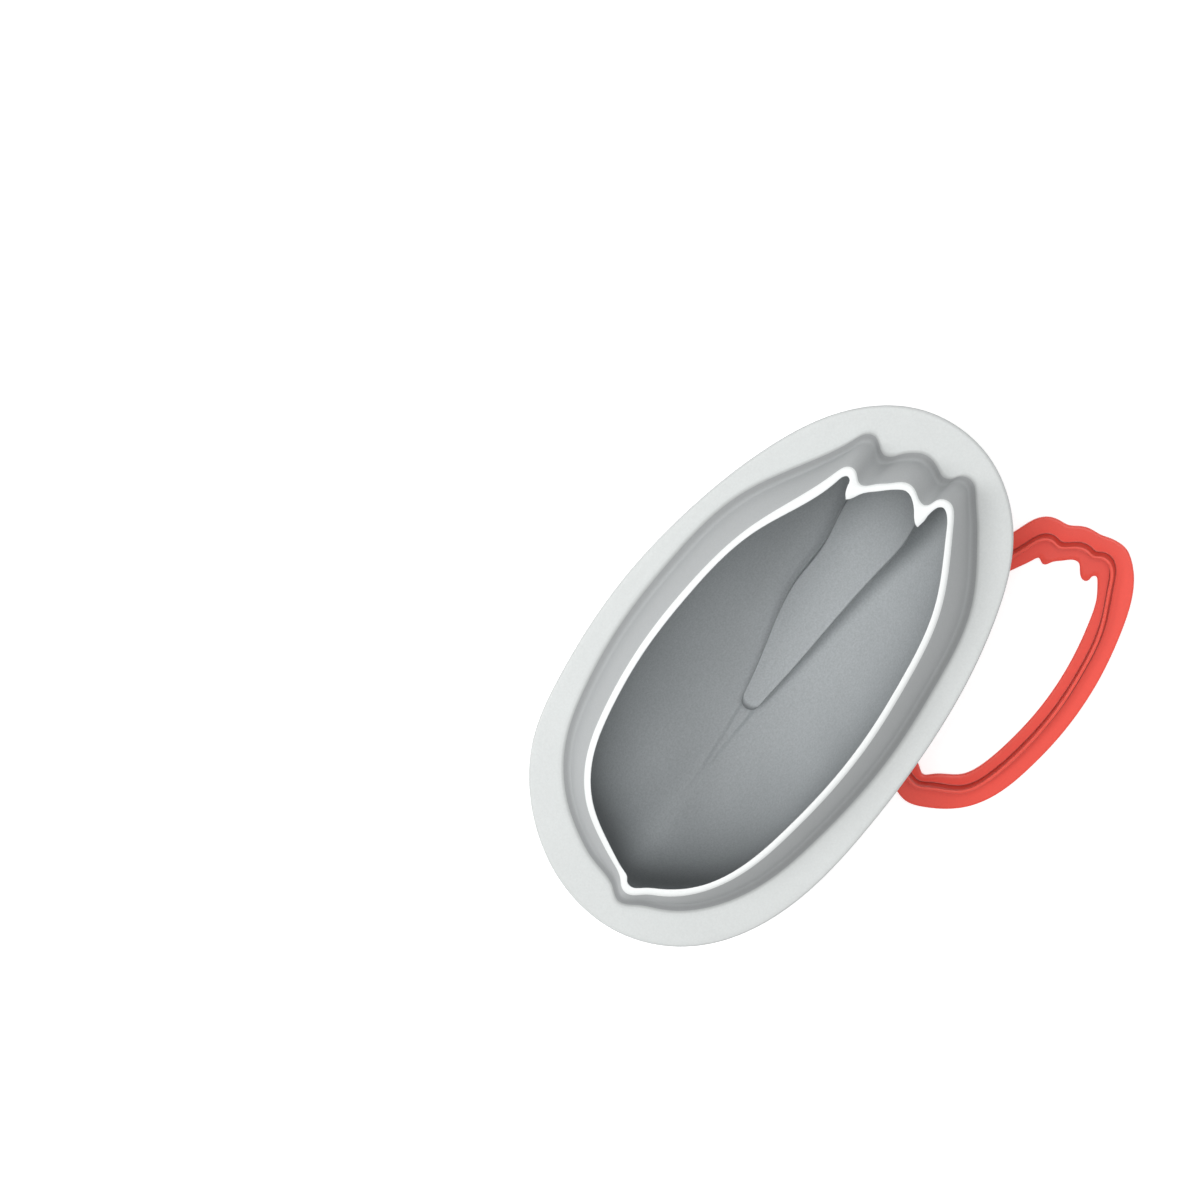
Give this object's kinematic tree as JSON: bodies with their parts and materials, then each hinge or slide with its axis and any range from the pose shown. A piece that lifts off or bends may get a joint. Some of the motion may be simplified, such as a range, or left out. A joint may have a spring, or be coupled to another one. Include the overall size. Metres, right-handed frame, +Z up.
{
  "type": "silicone cake mould",
  "caption": "Deep nut-shaped silicone cake mould with a slotted cavity, raised lip and wide flange on a flat foot; a plastic base cutter lies beside it.",
  "frame": {"origin": "middle of the underside of the mould's foot, on the table", "axes": "+X from the stem end of the cavity to its open end, +Y to the left, +Z up out of the cavity"},
  "size_m": [0.2694, 0.1984, 0.098],
  "materials": {
    "silicone": "matt, fine-grained",
    "cutter_plastic": "satin"
  },
  "bodies": {
    "mould": {"mould": "silicone"},
    "base_cutter": {"base_cutter": "cutter_plastic"}
  },
  "joints": [
    {"name": "cutter_slides_out", "type": "slide", "parent": "mould", "child": "base_cutter", "axis": [0, -1, 0], "range_m": [0, 0.09]}
  ]
}
